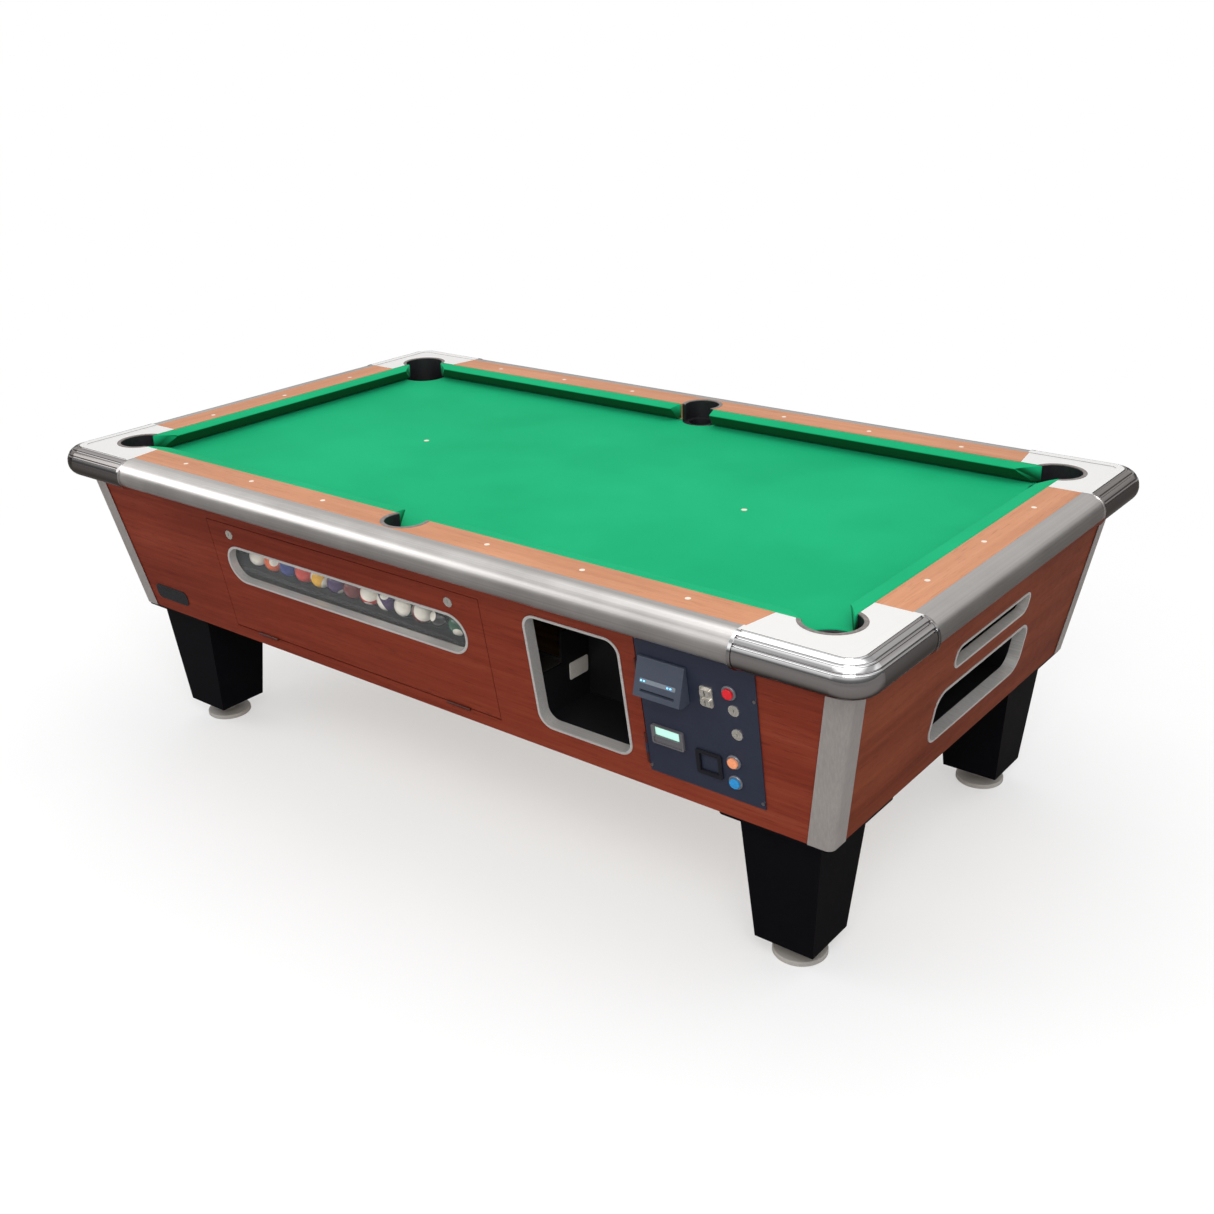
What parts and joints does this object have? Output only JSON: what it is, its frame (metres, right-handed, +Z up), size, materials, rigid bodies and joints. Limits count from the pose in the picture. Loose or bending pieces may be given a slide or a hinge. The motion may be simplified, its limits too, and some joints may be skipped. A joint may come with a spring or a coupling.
{
  "type": "pool table",
  "caption": "Coin-operated pool table with corner and side pockets, rounded metal rail edges, a tapered woodgrain cabinet with ball window, ball return and control panel, on levelling legs.",
  "frame": {"origin": "on the floor under the middle of the table", "axes": "+X along the length towards the foot end, -Y towards the long side with the ball window and the controls, +Z up"},
  "size_m": [2.381, 1.371, 0.8048],
  "materials": {
    "laminate": "satin cherry woodgrain laminate",
    "plywood": "bare plywood, sealed",
    "tray_black": "black stained plywood",
    "rail_laminate": "satin light woodgrain laminate",
    "slate": "honed dark grey slate",
    "bed_cloth": "woven green wool cloth",
    "cushion_cloth": "woven green wool cloth, stretched",
    "cushion_rubber": "moulded natural rubber",
    "satin_aluminium": "satin brushed extrusion",
    "frame_aluminium": "satin anodised",
    "casting_chrome": "bright chrome with a satin flat top",
    "liner_plastic": "moulded, fine texture",
    "sight_inlay": "pearl inlay",
    "zinc_steel": "zinc plated",
    "hinge_brown": "dark red-brown paint",
    "leg_black": "black laminate over timber",
    "plate_black": "matte black",
    "leveller_metal": "grey enamel",
    "window_lens": "clear sheet",
    "lock_metal": "plated, lightly worn",
    "badge": "blank badge plate",
    "panel_paint": "navy powder coat",
    "bezel_plastic": "slate grey moulding",
    "screen": "pale mint display",
    "button_red": "moulded",
    "button_orange": "moulded",
    "button_blue": "moulded",
    "ball_resin": "polished phenolic resin"
  },
  "bodies": {
    "table": {"cabinet_front": "laminate", "cabinet_back": "laminate", "cabinet_head": "laminate", "cabinet_foot": "laminate", "cabinet_floor": "plywood", "corner_trims": "satin_aluminium", "slate_frame": "plywood", "bed_slate": "slate", "bed_cloth": "bed_cloth", "side_rails": "rail_laminate", "end_rails": "rail_laminate", "rail_trims": "satin_aluminium", "corner_castings": "casting_chrome", "corner_pocket_liners": "liner_plastic", "side_pocket_liners": "liner_plastic", "cushion_rubbers": "cushion_rubber", "cushion_cloths": "cushion_cloth", "rail_sights": "sight_inlay", "assembly_bolts": "zinc_steel", "legs": "leg_black", "leg_plates": "plate_black", "cabinet_hinge_leaves": "hinge_brown", "badge_plate": "badge", "return_frame": "frame_aluminium", "return_box": "liner_plastic", "foot_slot_frame": "frame_aluminium", "cue_return_frame": "frame_aluminium", "cue_return_box": "liner_plastic", "ball_runs": "plywood", "ball_tray": "tray_black", "pool_balls": "ball_resin", "cash_box": "zinc_steel"},
    "ball_door": {"ball_door": "laminate", "window_frame": "frame_aluminium", "window_lens": "window_lens", "door_hinge_leaves": "hinge_brown", "door_lock_bodies": "lock_metal"},
    "door_lock_left": {"door_lock_left": "lock_metal"},
    "door_lock_right": {"door_lock_right": "lock_metal"},
    "control_panel": {"control_panel": "panel_paint", "bill_acceptor": "bezel_plastic", "display_bezel": "bezel_plastic", "display_screen": "screen", "coin_entry": "lock_metal", "coin_return_cup": "panel_paint", "button_collars": "bezel_plastic", "panel_lock_bodies": "lock_metal", "panel_screws": "zinc_steel", "panel_hinge_leaves": "panel_paint"},
    "coin_return_flap": {"coin_return_flap": "panel_paint"},
    "panel_lock_upper": {"panel_lock_upper": "lock_metal"},
    "panel_lock_lower": {"panel_lock_lower": "lock_metal"},
    "button_red": {"button_red": "button_red"},
    "button_orange": {"button_orange": "button_orange"},
    "button_blue": {"button_blue": "button_blue"},
    "ball_gate": {"ball_gate": "zinc_steel"},
    "leveller_front_head": {"leveller_front_head": "leveller_metal"},
    "leveller_front_foot": {"leveller_front_foot": "leveller_metal"},
    "leveller_back_head": {"leveller_back_head": "leveller_metal"},
    "leveller_back_foot": {"leveller_back_foot": "leveller_metal"}
  },
  "joints": [
    {"name": "ball_door_hinge", "type": "hinge", "parent": "table", "child": "ball_door", "pos_m": [-0.21, -0.56846, 0.3836], "axis": [1, 0, 0], "range_deg": [0, 90]},
    {"name": "door_lock_left_turn", "type": "hinge", "parent": "ball_door", "child": "door_lock_left", "pos_m": [-0.587, -0.61082, 0.66], "axis": [0, -0.9867, -0.1628], "range_deg": [0, 90]},
    {"name": "door_lock_right_turn", "type": "hinge", "parent": "ball_door", "child": "door_lock_right", "pos_m": [0.154, -0.61082, 0.66], "axis": [0, 0.9867, 0.1628], "range_deg": [0, 90]},
    {"name": "control_panel_hinge", "type": "hinge", "parent": "table", "child": "control_panel", "pos_m": [0.6584, -0.59748, 0.55948], "axis": [0, 0.1628, -0.9867], "range_deg": [0, 95]},
    {"name": "panel_lock_upper_turn", "type": "hinge", "parent": "control_panel", "child": "panel_lock_upper", "pos_m": [0.881, -0.60619, 0.61351], "axis": [0, 0.9867, 0.1628], "range_deg": [0, 90]},
    {"name": "panel_lock_lower_turn", "type": "hinge", "parent": "control_panel", "child": "panel_lock_lower", "pos_m": [0.884, -0.59745, 0.56051], "axis": [0, -0.9867, -0.1628], "range_deg": [0, 90]},
    {"name": "coin_return_flap_hinge", "type": "hinge", "parent": "control_panel", "child": "coin_return_flap", "pos_m": [0.812, -0.58257, 0.48569], "axis": [1, 0, 0], "range_deg": [0, 70]},
    {"name": "ball_gate_hinge", "type": "hinge", "parent": "table", "child": "ball_gate", "pos_m": [0.252, -0.527, 0.60427], "axis": [0, -1, 0], "range_deg": [0, 65]},
    {"name": "button_red_push", "type": "slide", "parent": "control_panel", "child": "button_red", "axis": [0, 0.9867, 0.1628], "range_m": [0, 0.004], "stiffness_N_per_m": 300, "springref_m": -0.001},
    {"name": "button_orange_push", "type": "slide", "parent": "control_panel", "child": "button_orange", "axis": [0, 0.9867, 0.1628], "range_m": [0, 0.004], "stiffness_N_per_m": 300, "springref_m": -0.001},
    {"name": "button_blue_push", "type": "slide", "parent": "control_panel", "child": "button_blue", "axis": [0, 0.9867, 0.1628], "range_m": [0, 0.004], "stiffness_N_per_m": 300, "springref_m": -0.001},
    {"name": "leveller_front_head_screw", "type": "slide", "parent": "table", "child": "leveller_front_head", "axis": [0, 0, -1], "range_m": [0, 0.02]},
    {"name": "leveller_front_foot_screw", "type": "slide", "parent": "table", "child": "leveller_front_foot", "axis": [0, 0, -1], "range_m": [0, 0.02]},
    {"name": "leveller_back_head_screw", "type": "slide", "parent": "table", "child": "leveller_back_head", "axis": [0, 0, -1], "range_m": [0, 0.02]},
    {"name": "leveller_back_foot_screw", "type": "slide", "parent": "table", "child": "leveller_back_foot", "axis": [0, 0, -1], "range_m": [0, 0.02]}
  ]
}
